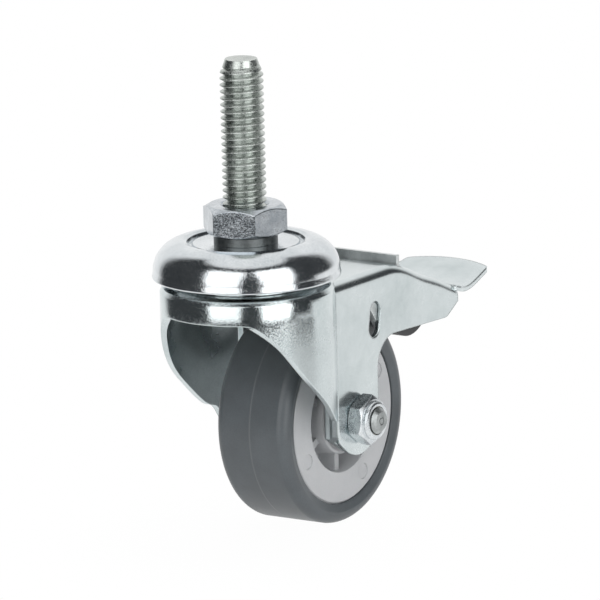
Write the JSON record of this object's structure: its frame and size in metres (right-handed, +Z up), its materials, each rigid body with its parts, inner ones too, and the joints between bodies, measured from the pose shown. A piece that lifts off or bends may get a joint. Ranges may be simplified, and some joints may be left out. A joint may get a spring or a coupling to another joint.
{
  "type": "swivel castor",
  "caption": "Threaded-stem swivel castor with a twin-row ball race under a domed cap, a pressed fork, a soft-tread wheel and a foot brake pedal over it.",
  "frame": {"origin": "on the swivel axis at the stem nut's top face, which seats against what the castor carries", "axes": "+Z up along the stem, +X from the swivel axis towards the trailing wheel and pedal, -Y towards the axle nut; the floor is at z = -77 mm"},
  "size_m": [0.1051, 0.0424, 0.1102],
  "materials": {
    "stem_zinc": "satin yellowish zinc",
    "nut_zinc": "bright zinc plate",
    "sheet_zinc": "bright zinc plate on rolled sheet",
    "cap_zinc": "bright polished zinc plate",
    "race_steel": "hardened, greased",
    "ball_steel": "polished",
    "nut_insert": "natural nylon",
    "core_plastic": "moulded, fine satin",
    "tyre_rubber": "matt soft tread",
    "bush_plastic": "natural acetal",
    "block_plastic": "matt moulded"
  },
  "bodies": {
    "stem": {"threaded_stem": "stem_zinc", "stem_nut": "nut_zinc", "stem_washer": "nut_zinc", "top_cap": "cap_zinc", "upper_race": "race_steel", "lower_race": "race_steel"},
    "upper_row": {"upper_balls": "ball_steel"},
    "lower_row": {"lower_balls": "ball_steel"},
    "fork": {"fork": "sheet_zinc", "axle_bolt": "nut_zinc", "axle_nut": "nut_zinc", "axle_nut_insert": "nut_insert", "axle_sleeve": "race_steel", "hub_washer_near": "race_steel", "hub_washer_far": "race_steel", "pedal_bush_near": "race_steel", "pedal_bush_far": "race_steel"},
    "wheel": {"wheel_core": "core_plastic", "tyre": "tyre_rubber", "wheel_bush_near": "bush_plastic", "wheel_bush_far": "bush_plastic"},
    "pedal": {"brake_pedal": "sheet_zinc"},
    "leaf": {"brake_plate": "sheet_zinc", "brake_block": "block_plastic", "block_rivets": "nut_zinc"}
  },
  "joints": [
    {"name": "swivel", "type": "hinge", "parent": "stem", "child": "fork", "pos_m": [0, 0, 0], "axis": [0, 0, 1], "continuous": true},
    {"name": "wheel_spin", "type": "hinge", "parent": "fork", "child": "wheel", "pos_m": [0.0237, 0, -0.0528], "axis": [0, 1, 0], "continuous": true},
    {"name": "pedal_press", "type": "hinge", "parent": "fork", "child": "pedal", "pos_m": [0.0237, 0, -0.0528], "axis": [0, 1, 0], "range_deg": [0, 8]},
    {"name": "brake_slide", "type": "slide", "parent": "pedal", "child": "leaf", "axis": [-0.1736, 0, -0.9848], "range_m": [0, 0.0015]},
    {"name": "upper_row_turn", "type": "hinge", "parent": "stem", "child": "upper_row", "pos_m": [0, 0, -0.0127], "axis": [0, 0, 1], "continuous": true},
    {"name": "lower_row_turn", "type": "hinge", "parent": "stem", "child": "lower_row", "pos_m": [0, 0, -0.01765], "axis": [0, 0, 1], "continuous": true}
  ],
  "couplings": [
    {"joint": "brake_slide", "follows": "pedal_press", "m_per_rad": 0.01074},
    {"joint": "upper_row_turn", "follows": "swivel", "ratio": 0.5},
    {"joint": "lower_row_turn", "follows": "swivel", "ratio": 0.5}
  ]
}
